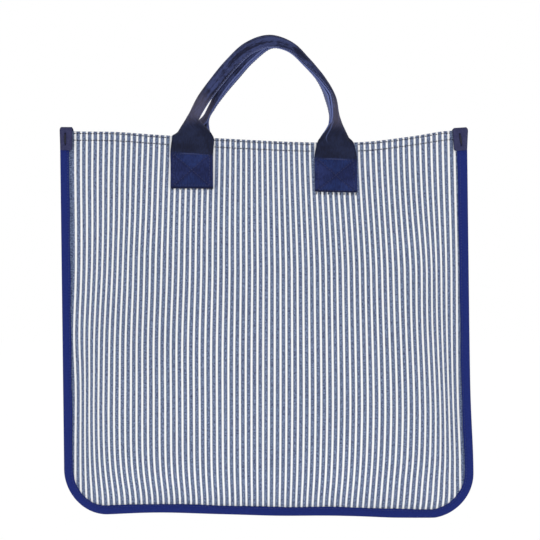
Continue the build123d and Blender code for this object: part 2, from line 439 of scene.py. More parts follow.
# Striped canvas panels
panels = {
    "columns": 150,
    "rows": 132,
    "cutInset": 0.0011,  # cloth edge inside the fold of the tape
    "hemHeight": 0.009,
    "hemRadius": 0.0010,
    "tuckRoom": 0.004,  # the hem's second layer closes up where the swell is less
    "seamGap": 0.0001,
    "drawnShare": 0.8,  # of the cloth's thickness
    "cornerPull": (0.0, 0.13),  # how far the outer stripes follow the bottom corners in, left and right
    "flatWidth": 0.386,  # cut size of one panel
    "flatHeight": 0.367,
    "stripes": 70,  # white ones, with a blue margin outside them
    "stripePitch": 0.00523,
    "stripeShift": 0.0038,
    "whiteWidth": 0.00190,
    "weave": {"Warp": 0.00052, "Weft": 0.00052, "Repeat": 3.0},
    "sway": 0.0007,  # how far the stripes wander sideways
    "swayWave": (46, 9, 0.8),  # turns up and across, and start
    "swayFade": (0.02, 0.16),  # none to the right of this x, full this far left of it
    "topDrift": 0.0041,  # they crowd together between the handles
    "topDriftFrom": (0.225, 0.125),  # from this height, over this much of it
    "lowDrift": 0.0033,  # and lie further left in the lower half
    "lowDriftTop": 0.23,
    "lowFadeSide": (0.055, 0.095),  # but not in the right bottom corner
    "lowFadeTop": (0.012, 0.03),
    "drifts": [  # x, height, half width, half height and how far left they lie there
        (-0.178, 0.165, 0.022, 0.035, 0.0016), (-0.115, 0.240, 0.025, 0.035, 0.0013),
        (0.145, 0.235, 0.018, 0.040, -0.0017),
    ],
    "white": paint(250, 250, 250),
    "blueDark": paint(12, 32, 83),
    "blueLight": paint(131, 149, 181),
    "threadEdge": 0.00016,  # softness of a stripe's edge
    "yarnStep": 0.00016,  # its edge steps with the yarns
    "slub": {"Across": 0.0026, "Along": 0.0009, "Low": 0.40, "High": 0.60},
    "speck": {"Across": 0.0012, "Along": 0.0011, "Low": 0.41, "High": 0.59},
    "shade": {"Scale": 14.0, "Low": 0.35, "High": 0.7},
    "shadeShare": 0.05,
    "whiteYarn": 0.12,  # share of white that shows through the blue
    # painted shade: the blue margin beside the tape is darkened by this share
    "marginShadeShare": 0.25,
    "specular": 0.08,
    "rough": (-0.1, 0.9),  # what the yarns change, and the rest
    "bump": (0.35, 0.0002),  # strength and depth
}


def canvasMaterial():
    material, shader, flat = startMaterial("stripedCanvas", panels["specular"])
    x = splitFlat(flat)[0]
    weave = placeGroup(clothWeave, Flat=flat, **panels["weave"])
    slub = placeGroup(yarnFleck, Flat=flat, **panels["slub"])["Mask"]
    speck = placeGroup(yarnFleck, Flat=flat, **panels["speck"])["Mask"]
    fleck = calc("MULTIPLY_ADD", slub, 0.5, times(speck, 0.5))
    shade = placeGroup(handledWear, **panels["shade"])["Mask"]
    shifted = calc("SUBTRACT", x, panels["stripeShift"])
    wobble = calc("MULTIPLY_ADD", weave["Over"], panels["yarnStep"], shifted)
    place = calc("DIVIDE", wobble, panels["stripePitch"])
    fromWhite = calc("ABSOLUTE", calc("SUBTRACT", place, calc("ROUND", place)))
    edge = 0.5 * panels["whiteWidth"] / panels["stripePitch"]
    soft = panels["threadEdge"] / panels["stripePitch"]
    fromMiddle = calc("ABSOLUTE", calc("ADD", place, 0.5))
    inMargin = calc("GREATER_THAN", fromMiddle, 0.5 * panels["stripes"])
    isBlue = calc("MAXIMUM", band(fromWhite, edge - soft, edge + soft), inMargin)
    blue = mixColor(fleck, panels["blueDark"], panels["blueLight"])
    blue = tint(blue, weave["Over"], panels["whiteYarn"], panels["white"])
    # painted shade on the blue margin beside the tape
    blue = tint(blue, inMargin, panels["marginShadeShare"], panels["blueDark"])
    color = mixColor(isBlue, panels["white"], blue)
    color = tint(color, shade, panels["shadeShare"], panels["blueDark"])
    feed(shader["Base Color"], color)
    addRelief(shader, panels, weave["Height"], weave["Height"])
    return material


def stripeDrift(x, h):
    # how far left the stripes lie of a straight fall
    across = x / bag["halfWidth"]
    shift = panels["topDrift"] * np.sin(math.pi * across) * ramp(h, *panels["topDriftFrom"])
    fade = ramp(x, *panels["lowFadeSide"]) * (1 - ramp(h, *panels["lowFadeTop"]))
    low = np.clip(1 - h / panels["lowDriftTop"], 0.0, 1.0) * (1 - fade)
    shift = shift + panels["lowDrift"] * low * (1 - 0.5 * smooth(across))
    for place, height, wide, tall, move in panels["drifts"]:
        shift = shift + move * bell(x, place, wide) * bell(h, height, tall)
    return shift


def panelPoints(side):
    # side is -1 for the front panel and 1 for the back one
    columns, rows = panels["columns"], panels["rows"]
    bottom = panels["cutInset"]
    fold = np.linspace(0.0, math.pi, 7)[1:]
    points, flat = [], []
    share = np.linspace(-1.0, 1.0, columns)
    ruler = np.linspace(0.0, bag["halfWidth"], 400)
    swayUp, swayAcross, swayStart = panels["swayWave"]
    swayFrom, swayOver = panels["swayFade"]

    def rowAt(level, inward, v):
        # level gives each column's height, from its x
        guess = share * (bag["halfWidth"] - panels["cutInset"])
        for again in range(2):
            h = level(guess)
            middle = float(h.mean())
            run = runUp(np.hypot(np.diff(ruler), np.diff(swell(ruler, middle))))
            edge = outlineHalf(middle) - panels["cutInset"]
            guess = np.sign(share) * np.interp(np.abs(share) * np.interp(edge, ruler, run), run, ruler)
        x, h = guess, level(guess)
        pull = np.where(x < 0, *panels["cornerPull"])
        pulled = bag["halfWidth"] - pull * (bag["halfWidth"] - outlineHalf(middle))
        u = np.sign(x) * np.interp(np.abs(x), ruler, run) / np.interp(pulled, ruler, run)
        room = swell(x, h)
        tuck = inward * np.clip(room / panels["tuckRoom"], 0.0, 1.0)
        y = side * (room + 0.5 * bag["canvas"] + panels["seamGap"] - tuck)
        points.append(join(x, y, h))
        inside = 1 - np.abs(u) ** 6
        sway = np.sin(swayUp * h + swayAcross * x + swayStart) * smooth((swayFrom - x) / swayOver)
        u = 0.5 * panels["flatWidth"] * u + panels["sway"] * sway * inside + stripeDrift(x, h)
        flat.append(join(u, v))

    radius = panels["hemRadius"]
    for t in np.linspace(0.0, 1.0, rows):
        rowAt(lambda x: bottom + t * (mouthHeight(x) - radius - bottom), 0.0, t * bag["height"])
    for angle in fold:
        rowAt(
            lambda x: mouthHeight(x) - radius + radius * math.sin(angle),
            radius * (1 - math.cos(angle)),
            bag["height"] + radius * angle,
        )
    for t in np.linspace(0.25, 1.0, 4):
        drop = t * panels["hemHeight"]
        rowAt(lambda x: mouthHeight(x) - radius - drop, 2 * radius, bag["height"] + 3 * radius + drop)
    return settle(np.array(points)), np.array(flat)


canvas = canvasMaterial()
for side, name in ((-1, "front"), (1, "back")):
    points, flat = panelPoints(side)
    cloth = thickSheet(name + "Cloth", points, flat, canvas, panels["drawnShare"] * bag["canvas"])
    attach(cloth, "bag")
    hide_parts(name + "_panel")
print("canvas panels hung")


# Sewing threads
threads = {
    "hemColor": paint(26, 31, 56),
    "boxColor": paint(35, 44, 92),
    "tapeColor": paint(40, 54, 122),
    "barColor": paint(15, 15, 40),
    "gripColor": paint(106, 115, 156),
    "hemSize": (0.00044, 0.00026),  # radius of a stitch, and how far it stands out
    "boxSize": (0.00030, 0.00020),
    "tapeSize": (0.00026, 0.00016),
    "gripSize": (0.00020, 0.00010),
    "endSize": (0.0006, 0.0004),
    "barSize": (0.0009, 0.0004),
    "twist": (2600.0, 5200.0),  # of its plies, round and along
    "shade": 0.6,  # between the plies
    "fleck": {"Across": 0.0003, "Along": 0.0008},
    "rough": (0.12, 0.6),
    "bump": (0.4, 0.0001),
}


def threadMaterial(name, color):
    material, shader, flat = startMaterial(name)
    x, y = splitFlat(flat)
    twist = calc("MULTIPLY_ADD", x, threads["twist"][0], times(y, threads["twist"][1]))
    ply = calc("ABSOLUTE", calc("SINE", twist))
    fleck = placeGroup(yarnFleck, Flat=flat, **threads["fleck"])["Mask"]
    dark = tuple(threads["shade"] * part for part in color[:3]) + (1.0,)
    feed(shader["Base Color"], mixColor(ply, dark, color))
    addRelief(shader, threads, fleck, ply)
    return material


# Binding tape, folded over the cloth edges
binding = {
    "width": 0.0084,
    "thickness": 0.0009,
    "half": tapeHigh.y,  # seam plane to the tape's outer face
    "step": 0.0024,
    "rightTop": 0.0013,  # the tape is folded this much wider beside the right tab
    "stitchIn": 0.0071,  # row in from the outer edge
    "stitchPitch": 0.0027,
    "stitchStep": 0.002,
    "stitchSink": 0.00005,
    "belowTab": 0.001,  # the row ends this far below the tabs
    "rightTopFrom": (0.15, 0.2),  # height from which it widens, and over how much
    "faceEnd": 0.0006,  # each face ends this far from the fold
    "puff": 0.00022,  # of each face between the fold and the row
    "rowDip": (0.00028, 0.0007),  # depth of the row, and half its width
    "wavers": [(0.00008, 410, 0.0), (0.00022, 97, 1.0)],  # of the inner edge: size, turns and start
    "waverFrom": (0.004, 0.0045),
    "lift": (0.03, 61, 0.4),  # its faces stand off more or less: share, turns and start
    "color": paint(25, 39, 110),
    "light": paint(39, 54, 130),
    "lightShare": 0.7,
    # painted shade in the gaps between the yarns
    "gapShadeColor": paint(20, 27, 66),
    "gapShadeShare": 0.3,
    "rib": {"Warp": 0.0005, "Weft": 0.0009, "Repeat": 2.0},
    "fleck": {"Across": 0.002, "Along": 0.0007, "Low": 0.3, "High": 0.75},
    "specular": 0.1,
    "rough": (0.15, 0.62),
    "bump": (0.5, 0.0002),
}


def tapeMaterial():
    material, shader, flat = startMaterial("bindingTape", binding["specular"])
    weave = placeGroup(clothWeave, Flat=flat, **binding["rib"])
    fleck = placeGroup(yarnFleck, Flat=flat, **binding["fleck"])["Mask"]
    color = tint(binding["color"], fleck, binding["lightShare"], binding["light"])
    # painted shade between the yarns
    color = tint(color, opposite(weave["Height"]), binding["gapShadeShare"], binding["gapShadeColor"])
    feed(shader["Base Color"], color)
    addRelief(shader, binding, fleck, weave["Height"])
    return material


def outlinePath(inset, top, step):
    # down the left side, round both bottom corners and up the right side
    half, radius = bag["halfWidth"] - inset, bag["cornerRadius"] - inset
    down = np.arange(top, bag["cornerRadius"], -step)
    left = join(-half, down)
    turn = np.linspace(0.0, 0.5 * math.pi, 30)[1:-1]
    corner = join(-half + radius - radius * np.cos(turn), inset + radius - radius * np.sin(turn))
    foot = np.arange(-half + radius, 0.0, step)
    base = join(foot, inset)
    leftHalf = np.concatenate([left, corner, base])
    return np.concatenate([leftHalf, [[0.0, inset]], leftHalf[::-1] * [-1, 1]])


def tapePoints():
    edge = outlinePath(0.0, bag["height"], binding["step"])
    tangent = unit(np.gradient(edge, axis=0))
    inward = join(-tangent[:, 1], tangent[:, 0])
    run = runUp(np.linalg.norm(np.diff(edge, axis=0), axis=1))
    middle = binding["half"] - 0.5 * binding["thickness"]
    faceIn = np.linspace(binding["width"], middle + binding["faceEnd"], 11)
    puff = binding["puff"] * np.sin(math.pi * (faceIn - faceIn[-1]) / (faceIn[0] - faceIn[-1]))
    rowDepth, rowWidth = binding["rowDip"]
    puff -= rowDepth * bell(faceIn, binding["stitchIn"], rowWidth)
    turn = np.linspace(0.5 * math.pi, -0.5 * math.pi, 9)[1:-1]
    fold = middle + 0.5 * binding["thickness"] - middle * np.cos(turn)
    depthIn = np.concatenate([faceIn, fold, faceIn[::-1]])
    depthY = np.concatenate([-middle - puff, -middle * np.sin(turn), (middle + puff)[::-1]])
    flatV = runUp(np.hypot(np.diff(depthIn), np.diff(depthY)))
    waver = sum(size * np.sin(run * turns + start) for size, turns, start in binding["wavers"])
    waver += binding["rightTop"] * ramp(edge[:, 1], *binding["rightTopFrom"]) * (edge[:, 0] > 0)
    atEdge = ramp(depthIn, *binding["waverFrom"])
    deep = depthIn[None] + waver[:, None] * atEdge[None]
    share, turns, start = binding["lift"]
    lift = 1 + share * np.sin(run * turns + start)
    points = join(
        edge[:, None, 0] + inward[:, None, 0] * deep,
        depthY[None] * lift[:, None],
        edge[:, None, 1] + inward[:, None, 1] * deep,
    )
    return settle(points), join(flatV[None], run[:, None])


def tapeStitches():
    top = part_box("left_tab")[0].z - bag["bottom"] - binding["belowTab"]
    path = outlinePath(binding["stitchIn"], top, binding["stitchStep"])
    runs = []
    for side in (-1, 1):
        line = settle(join(path[:, 0], side * (binding["half"] - binding["stitchSink"]), path[:, 1]))
        outward = np.tile([0.0, side, 0.0], (len(path), 1))
        runs.append(stitchRun(line, outward, binding["stitchPitch"]))
    return runs


points, flat = tapePoints()
tape = thickSheet("bindingTape", points, flat, tapeMaterial(), binding["thickness"])
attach(tape, "bag")
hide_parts("edge_binding")
tapeYarn = threadMaterial("tapeThread", threads["tapeColor"])
tapeThread = stitchPiece("bindingStitches", tapeStitches(), threads["tapeSize"], tapeYarn)
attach(tapeThread, "bag")
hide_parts("binding_seam")
print("binding folded and sewn")


# Two rows of stitches along the hem
hem = {
    "firstRow": 0.0016,  # below the mouth's edge
    "secondRow": 0.0079,
    "pitch": 0.0026,
    "clearOfTab": 0.0126,  # rows end this far in from the bag's edge
    "clearOfHandle": 0.001,
    "share": 0.84,  # of the pitch that a stitch fills
}


def hemStitches(side):
    runs = []
    endX = 0.5 * (endLow.x + endHigh.x)
    halfEnd = 0.5 * (endHigh.x - endLow.x) + hem["clearOfHandle"]
    reach = bag["halfWidth"] - hem["clearOfTab"]
    spans = [(-reach, endX - halfEnd), (endX + halfEnd, -endX - halfEnd), (-endX + halfEnd, reach)]
    for drop in (hem["firstRow"], hem["secondRow"]):
        for left, right in spans:
            x = np.linspace(left, right, 90)
            h = mouthHeight(x) - drop
            y = side * (swell(x, h) + bag["canvas"])
            outward = unit(join(-np.gradient(y * side, x), side, 0.0))
            runs.append(stitchRun(settle(join(x, y, h)), outward, hem["pitch"], hem["share"]))
    return runs


hemThread = threadMaterial("hemThread", threads["hemColor"])
for side, name in ((-1, "front"), (1, "back")):
    row = stitchPiece(name + "HemStitches", hemStitches(side), threads["hemSize"], hemThread)
    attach(row, "bag")
    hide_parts(name + "_hem_seam")
print("hem rows sewn")


# Leather tabs over the ends of the binding
tabs = {
    "thickness": 0.0014,
    "corner": 0.0017,
    "edge": 0.00035,
    "holeDepth": 0.0013,
    "holeSize": 0.0011,
    "barTop": 0.002,  # below the bag's corners
    "barLength": 0.0105,
    "barSink": 0.0003,
    "barShift": {"left": -0.0009, "right": -0.0006},  # off the tab's middle
    "barSlant": {"left": 0.0, "right": 0.0014},  # its lower end is further right
    "groove": 0.0006,  # the bar draws the leather in
    "grooveWidth": 0.0011,
    "slope": {"left": -0.07, "right": 0.13},  # each tab leans with the mouth's edge
    "taper": {"left": 0.0003, "right": 0.0010},  # narrower at the foot on each side
    "edges": {"left": (0.0007, 0.0), "right": (-0.0016, 0.0)},  # how far its two edges lie to the right
    "drop": {"left": 0.0006, "right": 0.0017},
    "shorter": {"left": 0.0005, "right": 0.0011},  # at the foot
    "topRound": {"left": 0.0011, "right": 0.0017},
    "crown": 0.00022,  # the leather's middle stands out
    "rimShadeShare": 0.15,  # painted shade along both side edges, as a share of half the width
    "rimShadeDark": 0.6,
    "poreScale": 1500.0,
    "poreDark": 0.8,
    "wear": {"Scale": 260.0, "Low": 0.42, "High": 0.72},
    "wearShare": 0.25,
    "color": paint(54, 56, 95),
    "dark": paint(28, 30, 60),
    "light": paint(75, 77, 117),
    "specular": 0.2,
    "rough": (0.3, 0.5),
    "bump": (0.5, 0.0002),
}


def leatherMaterial():
    material, shader, flat = startMaterial("tabLeather", tabs["specular"])
    place = newNode("ShaderNodeTexCoord").outputs["Object"]
    grain = newNode("ShaderNodeTexVoronoi")
    grain.feature = "SMOOTH_F1"
    feed(grain.inputs["Vector"], place)
    grain.inputs["Scale"].default_value = tabs["poreScale"]
    pores = grain.outputs["Distance"]
    wear = placeGroup(handledWear, **tabs["wear"])["Mask"]
    color = tint(tabs["color"], pores, tabs["poreDark"], tabs["dark"])
    color = tint(color, wear, tabs["wearShare"], tabs["light"])
    # painted shade along both side edges of the tab
    fromMiddle = calc("ABSOLUTE", splitFlat(flat)[0])
    inRimShade = band(fromMiddle, 1 - tabs["rimShadeShare"], 1.0)
    color = tint(color, inRimShade, tabs["rimShadeDark"], tabs["dark"])
    feed(shader["Base Color"], color)
    addRelief(shader, tabs, pores, pores)
    return material


def tabSpan(name):
    # a tab's middle and half its width
    low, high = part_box(name + "_tab")
    left, right = low.x + tabs["edges"][name][0], high.x + tabs["edges"][name][1]
    return 0.5 * (left + right), 0.5 * (right - left)


def barLine(name, h):
    # x of a tab's bar stitch at a height
    down = np.clip((bag["height"] - tabs["barTop"] - h) / tabs["barLength"], 0.0, 1.0)
    return tabSpan(name)[0] + tabs["barShift"][name] + tabs["barSlant"][name] * down


def tabPoints(name):
    low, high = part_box(name + "_tab")
    slope, taper = tabs["slope"][name], tabs["taper"][name]
    centre, half = tabSpan(name)
    reach = high.y - 0.5 * tabs["thickness"]
    foldHeight = high.z - bag["bottom"] - high.y
    foot = low.z - bag["bottom"] + tabs["shorter"][name]
    leg = np.linspace(foot, foldHeight, 46)
    turn = np.linspace(0.0, math.pi, 17)[1:-1]
    y = np.concatenate([np.full_like(leg, -reach), -reach * np.cos(turn), np.full_like(leg, reach)])
    h = np.concatenate([leg, foldHeight + reach * np.sin(turn), leg[::-1]])
    across = np.linspace(-1.0, 1.0, 30)
    aboveFoot = np.clip(h - foot, 0.0, tabs["corner"])
    width = half - tabs["corner"] + np.sqrt(tabs["corner"] ** 2 - (tabs["corner"] - aboveFoot) ** 2)
    upTab = (h - foot) / (foldHeight - foot)
    width = width - taper * (1 - np.clip(upTab, 0.0, 1.0))
    width = width - tabs["topRound"][name] * np.clip((h - foldHeight) / reach, 0.0, 1.0) ** 3
    x = centre + across[None] * width[:, None]
    outward = np.sign(y) * (np.abs(np.sin(np.arctan2(y, np.maximum(h - foldHeight, 0.0)))))
    crown = tabs["crown"] * (1 - across[None] ** 2)
    barTop = bag["height"] - tabs["barTop"]
    beside = x - barLine(name, h)[:, None]
    past = np.maximum(np.abs(h - barTop + 0.5 * tabs["barLength"]) - 0.5 * tabs["barLength"], 0.0)
    dent = tabs["groove"] * bell(np.hypot(beside, past[:, None]), 0.0, tabs["grooveWidth"])
    for end in (barTop, barTop - tabs["barLength"]):
        hole = np.hypot(beside, (h - end)[:, None])
        dent = dent + tabs["holeDepth"] * bell(hole, 0.0, tabs["holeSize"])
    leant = h[:, None] + slope * (x - centre) - tabs["drop"][name]
    points = join(x, y[:, None] + outward[:, None] * (crown - dent), leant)
    run = runUp(np.hypot(np.diff(y), np.diff(h)))
    return settle(points), join(across[None], run[:, None])


leather = leatherMaterial()
barRuns = []
for name in ("left", "right"):
    points, flat = tabPoints(name)
    tab = thickSheet(name + "LeatherTab", points, flat, leather, tabs["thickness"], tabs["edge"])
    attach(tab, "bag")
    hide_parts(name + "_tab")
    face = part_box(name + "_tab")[1].y - tabs["barSink"]
    for side in (-1, 1):
        top = bag["height"] - tabs["barTop"]
        h = np.linspace(top, top - tabs["barLength"], 12)
        bar = settle(join(barLine(name, h), side * face, h - tabs["drop"][name]))
        outward = np.tile([0.0, side, 0.0], (len(h), 1))
        barRuns.append(stitchRun(bar, outward, tabs["barLength"], share=1.0))
barYarn = threadMaterial("barThread", threads["barColor"])
barThread = stitchPiece("tabStitches", barRuns, threads["barSize"], barYarn)
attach(barThread, "bag")
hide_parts("tab_stitches")
print("leather tabs folded over")


# Webbing handles: flat ends sewn to the panels, then gathered into a folded grip
handle = {
    "width": endHigh.x - endLow.x,
    "thickness": 0.0021,
    "endX": 0.5 * (endLow.x + endHigh.x),
    "endFoot": endLow.z - bag["bottom"],
    "longer": {-1: 0.0003, 1: 0.0017},  # the left and right ends reach a little lower
    "hinge": hinges["front_handle"].z - bag["bottom"],
    "offCloth": 0.0013,  # cloth's middle to the strip's inner face
    "frontArch": [  # x, rise above the mouth and width seen from the front, neck to neck
        (-0.0651, 0.0158, 0.0130), (-0.0632, 0.0205, 0.0108), (-0.0556, 0.0350, 0.0118),
        (-0.0436, 0.0521, 0.0122), (-0.0302, 0.0692, 0.0122), (-0.0140, 0.0852, 0.0122),
        (0.0059, 0.0930, 0.0120), (0.0255, 0.0880, 0.0100), (0.0407, 0.0738, 0.0086),
        (0.0535, 0.0588, 0.0084), (0.0622, 0.0416, 0.0102), (0.0661, 0.0205, 0.0114),
    ],
    "backArch": [
        (-0.0560, 0.0185, 0.0095), (-0.0493, 0.0312, 0.0066), (-0.0396, 0.0473, 0.0098),
        (-0.0271, 0.0625, 0.0104), (-0.0130, 0.0785, 0.0104), (0.0060, 0.0930, 0.0103),
        (0.0255, 0.0900, 0.0088), (0.0400, 0.0785, 0.0078), (0.0519, 0.0647, 0.0076),
        (0.0609, 0.0474, 0.0080), (0.0655, 0.0230, 0.0080),
    ],
    "gripDepth": 0.0094,  # folded strip from front to back
    "baseDepth": 0.0197,  # strip in front of the seam plane at the mouth
    "topDepth": 0.0056,  # and at the top of the arch
    "step": 0.0020,
    "columns": 33,
    "edge": 0.0005,  # rounding of the strip's edges
    "close": 0.97,  # share of a full turn that the folded strip makes
    "rollPower": 0.7,  # lower rolls up sooner above the mouth
    "flapPower": 1.5,  # higher narrows later below the mouth
    "neckEase": 0.1,
    "twistRise": (0.002, 0.022),  # the fold turns from this height above the mouth, over this much
    "liftOff": 0.012,  # the strip leaves the cloth over this length above the fold line
    "clearRise": (0.008, 0.006),  # kept outside the cloth to this height above the mouth, with this ease
    "mouthWidth": {-1: 0.0382, 1: 0.0332},  # left and right, where the strip passes the mouth
    "mouthShift": {-1: 0.0018, 1: 0.0},
    "flare": {-1: 1.10, 1: 1.45},  # higher narrows faster above the mouth
    "frontTwist": [  # along the strip from its middle, and how far its fold has turned
        (0.000, 82), (0.035, 104), (0.057, 126), (0.068, 144), (0.079, 168), (0.102, 135),
    ],
    "backTwist": [(-0.10, 58), (-0.05, 42), (0.0, 52), (0.03, 70)],
    "seamColumn": 3,  # stitched this many columns in from the strip's edge
    "seamRise": 0.028,  # from this height above the mouth
    "boxColor": (paint(24, 32, 74), paint(44, 55, 108)),
    "flapColor": (paint(22, 26, 48), paint(36, 43, 72)),
    "gripColor": (paint(25, 28, 53), paint(65, 74, 119)),
    "gripZone": (0.018, 0.042),  # heights above the fold line, along the strip, here and below
    # lighter selvedge with painted highlight along the strip's edges
    "edgeColor": paint(108, 121, 178),
    "edgeWidth": 0.0020,
    "edgeSoft": 0.0003,
    "edgeZone": (0.016, 0.026),
    "edgeShare": 0.8,
    # painted shade in the gaps between the yarns
    "gapShadeColor": paint(22, 26, 50),
    "gapShadeShare": 0.3,
    "rib": {"Warp": 0.0009, "Weft": 0.0012, "Repeat": 2.0},
    "fleck": {"Across": 0.0011, "Along": 0.004, "Low": 0.32, "High": 0.68},
    "streak": {"Across": 0.0045, "Along": 0.06, "Low": 0.36, "High": 0.64},
    "wear": {"Scale": 55.0, "Low": 0.42, "High": 0.66},
    "patchParts": (0.25, 0.3, 0.4),  # of wear, fleck and streak
    "patchRange": (0.2, 0.78),  # dark below the first, light above the second
    "specular": 0.12,
    "rough": (0.15, 0.6),
    "bump": (0.6, 0.0003),
    "sheen": 0.14,
    "sheenRough": 0.35,
    "sheenColor": paint(205, 200, 222),
    "litFaceColor": paint(106, 115, 155),
    "litFaceWidth": 0.0105,  # painted light on a stretch beside the fold of the right leg
    "litFaceSoft": 0.002,
    "litFaceShare": 0.75,
    "rightSide": (0.01, 0.05),  # along the strip from its middle
    "creaseGlintShare": 0.34,  # painted highlight along a line that runs down from it into the right flap
    "creaseWidth": (0.0003, 0.0010),  # its core and its edge, from its middle
    "creaseX": 0.0034,
    "creaseSlant": 0.40,
    "creaseZone": (0.012, 0.020, 0.030, 0.038),
    "neckSheenColor": paint(102, 98, 118),  # painted sheen on the cloth above the mouth
    "neckSheenZone": (0.022, 0.036, 0.046, 0.064),
    "neckSheenShare": 0.52,
    "footShadowColor": paint(15, 18, 44),
    "footShadowZone": (0.0008, 0.0024),  # from the strip's end; painted shadow along its lower end
    "footShadowShare": 0.8,
    "boxTop": 0.0015,  # the sewn box ends this far below the fold line
    "boxMargin": 0.003,
    "boxSoft": 0.0018,  # its colour gives way to the flap's over twice this
    "rowGap": 0.0006,  # the box's top row below its top
    "crossShare": 0.40,  # share of the painted highlight on the top and bottom of the box and of the painted shade along its cross
    "crossHighlightColor": paint(32, 57, 116),
    "crossShadeColor": paint(17, 21, 54),
    "crossWidth": (0.02, 0.12),  # as a share of half the box
    "crossSoft": 0.3,
    "crossPatchy": (0.7, 0.3),  # the part that comes and goes with the yarns, and the rest
    "foldGlint": 0.24,  # painted highlight along the line where the strip lifts off its box
    "foldWidth": (0.0002, 0.0007),
    "foldReach": (0.004, 0.013),
    "stitchPitch": 0.0026,
    "edgePitch": 0.0034,  # stitches over the lower edge of each end
    "overEdge": 0.0014,  # their reach, up and down
    "edgeInset": 0.0013,
}


def webbingMaterial(halfLength):
    material, shader, flat = startMaterial("handleWebbing", handle["specular"])
    x, y = splitFlat(flat)
    weave = placeGroup(clothWeave, Flat=flat, **handle["rib"])
    fleck = placeGroup(yarnFleck, Flat=flat, **handle["fleck"])["Mask"]
    streak = placeGroup(yarnFleck, Flat=flat, **handle["streak"])["Mask"]
    wear = placeGroup(handledWear, **handle["wear"])["Mask"]
    sewnLength = handle["hinge"] - handle["endFoot"]
    fromEnd = calc("SUBTRACT", halfLength, calc("ABSOLUTE", y))
    upFlap = calc("SUBTRACT", fromEnd, sewnLength)
    boxTop = sewnLength - handle["boxTop"]
    isFree = band(fromEnd, boxTop - handle["boxSoft"], boxTop + handle["boxSoft"])
    isGrip = band(upFlap, *handle["gripZone"])
    isRight = band(y, *handle["rightSide"])

    def zoned(tone):
        free = mixColor(isFree, handle["boxColor"][tone], handle["flapColor"][tone])
        return mixColor(isGrip, free, handle["gripColor"][tone])

    # uneven yarns, with long streaks along the grip
    streak = calc("MULTIPLY_ADD", calc("SUBTRACT", streak, 0.5), isGrip, 0.5)
    wearPart, fleckPart, streakPart = handle["patchParts"]
    patch = calc("MULTIPLY_ADD", wear, wearPart, times(fleck, fleckPart))
    patch = band(calc("MULTIPLY_ADD", streak, streakPart, patch), *handle["patchRange"])
    color = mixColor(patch, zoned(0), zoned(1))

    # the sewn box: painted highlight and painted shade about its cross, and a painted highlight where the
    # strip lifts off
    boxUp = calc("ABSOLUTE", calc("MULTIPLY_ADD", fromEnd, 2 / boxTop, -1.0))
    aside = times(calc("ABSOLUTE", x), 2 / handle["width"])
    overCross = calc("SUBTRACT", boxUp, aside)
    inBox = times(opposite(isFree), handle["crossShare"])
    inBox = times(inBox, calc("MULTIPLY_ADD", fleck, *handle["crossPatchy"]))
    # painted highlight on the top and bottom of the box, painted shade along its cross
    inCrossHighlight = band(overCross, 0.0, handle["crossSoft"])
    color = tint(color, inCrossHighlight, inBox, handle["crossHighlightColor"])
    inCrossShade = near(overCross, *handle["crossWidth"])
    color = tint(color, inCrossShade, inBox, handle["crossShadeColor"])
    onFold = near(calc("SUBTRACT", fromEnd, boxTop), *handle["foldWidth"])
    onFold = times(onFold, near(x, *handle["foldReach"]))
    color = tint(color, onFold, handle["foldGlint"], handle["edgeColor"])

    # painted sheen on the neck, painted shadow along the foot and painted shade in the gaps of the weave
    onNeckSheen = between(upFlap, *handle["neckSheenZone"])
    color = tint(color, onNeckSheen, handle["neckSheenShare"], handle["neckSheenColor"])
    # painted shadow along the lower end of the strip
    inFootShadow = near(fromEnd, *handle["footShadowZone"])
    color = tint(color, inFootShadow, handle["footShadowShare"], handle["footShadowColor"])
    # painted shade between the yarns
    color = tint(color, opposite(weave["Height"]), handle["gapShadeShare"], handle["gapShadeColor"])

    # painted light on a stretch of the right leg, a painted highlight line running down from it, and the
    # lighter edges with painted highlight
    fade = handle["litFaceWidth"] - 0.5 * handle["width"]
    onLitFace = opposite(band(x, fade, fade + handle["litFaceSoft"]))
    onLitFace = times(onLitFace, times(isGrip, isRight))
    color = tint(color, onLitFace, handle["litFaceShare"], handle["litFaceColor"])
    creaseX = calc("MULTIPLY_ADD", upFlap, handle["creaseSlant"], handle["creaseX"])
    onCreaseGlint = near(calc("SUBTRACT", x, creaseX), *handle["creaseWidth"])
    onCreaseGlint = times(onCreaseGlint, times(between(upFlap, *handle["creaseZone"]), isRight))
    color = tint(color, onCreaseGlint, handle["creaseGlintShare"], handle["edgeColor"])
    # the strip's edges: lighter selvedge, with painted highlight
    rim = 0.5 * handle["width"] - handle["edgeWidth"]
    isRim = band(calc("ABSOLUTE", x), rim - handle["edgeSoft"], rim + handle["edgeSoft"])
    isRim = times(isRim, times(band(upFlap, *handle["edgeZone"]), handle["edgeShare"]))
    feed(shader["Base Color"], mixColor(isRim, color, handle["edgeColor"]))
    shader["Sheen Weight"].default_value = handle["sheen"]
    shader["Sheen Roughness"].default_value = handle["sheenRough"]
    shader["Sheen Tint"].default_value = handle["sheenColor"]
    addRelief(shader, handle, fleck, weave["Height"])
    return material


def throughPoints(points, step):
    # a smooth line through the points, read at even steps
    padded = np.concatenate([[2 * points[0] - points[1]], points, [2 * points[-1] - points[-2]]])
    pieces = []
    for a, b, c, d in zip(padded, padded[1:], padded[2:], padded[3:]):
        t = np.linspace(0.0, 1.0, 24, endpoint=False)[:, None]
        pieces.append(
            0.5 * (2 * b + (c - a) * t + (2 * a - 5 * b + 4 * c - d) * t**2 + (3 * b - a - 3 * c + d) * t**3)
        )
    line = np.concatenate(pieces + [points[-1:]])
    return alongPath(line, np.arange(0.0, pathLength(line), step))


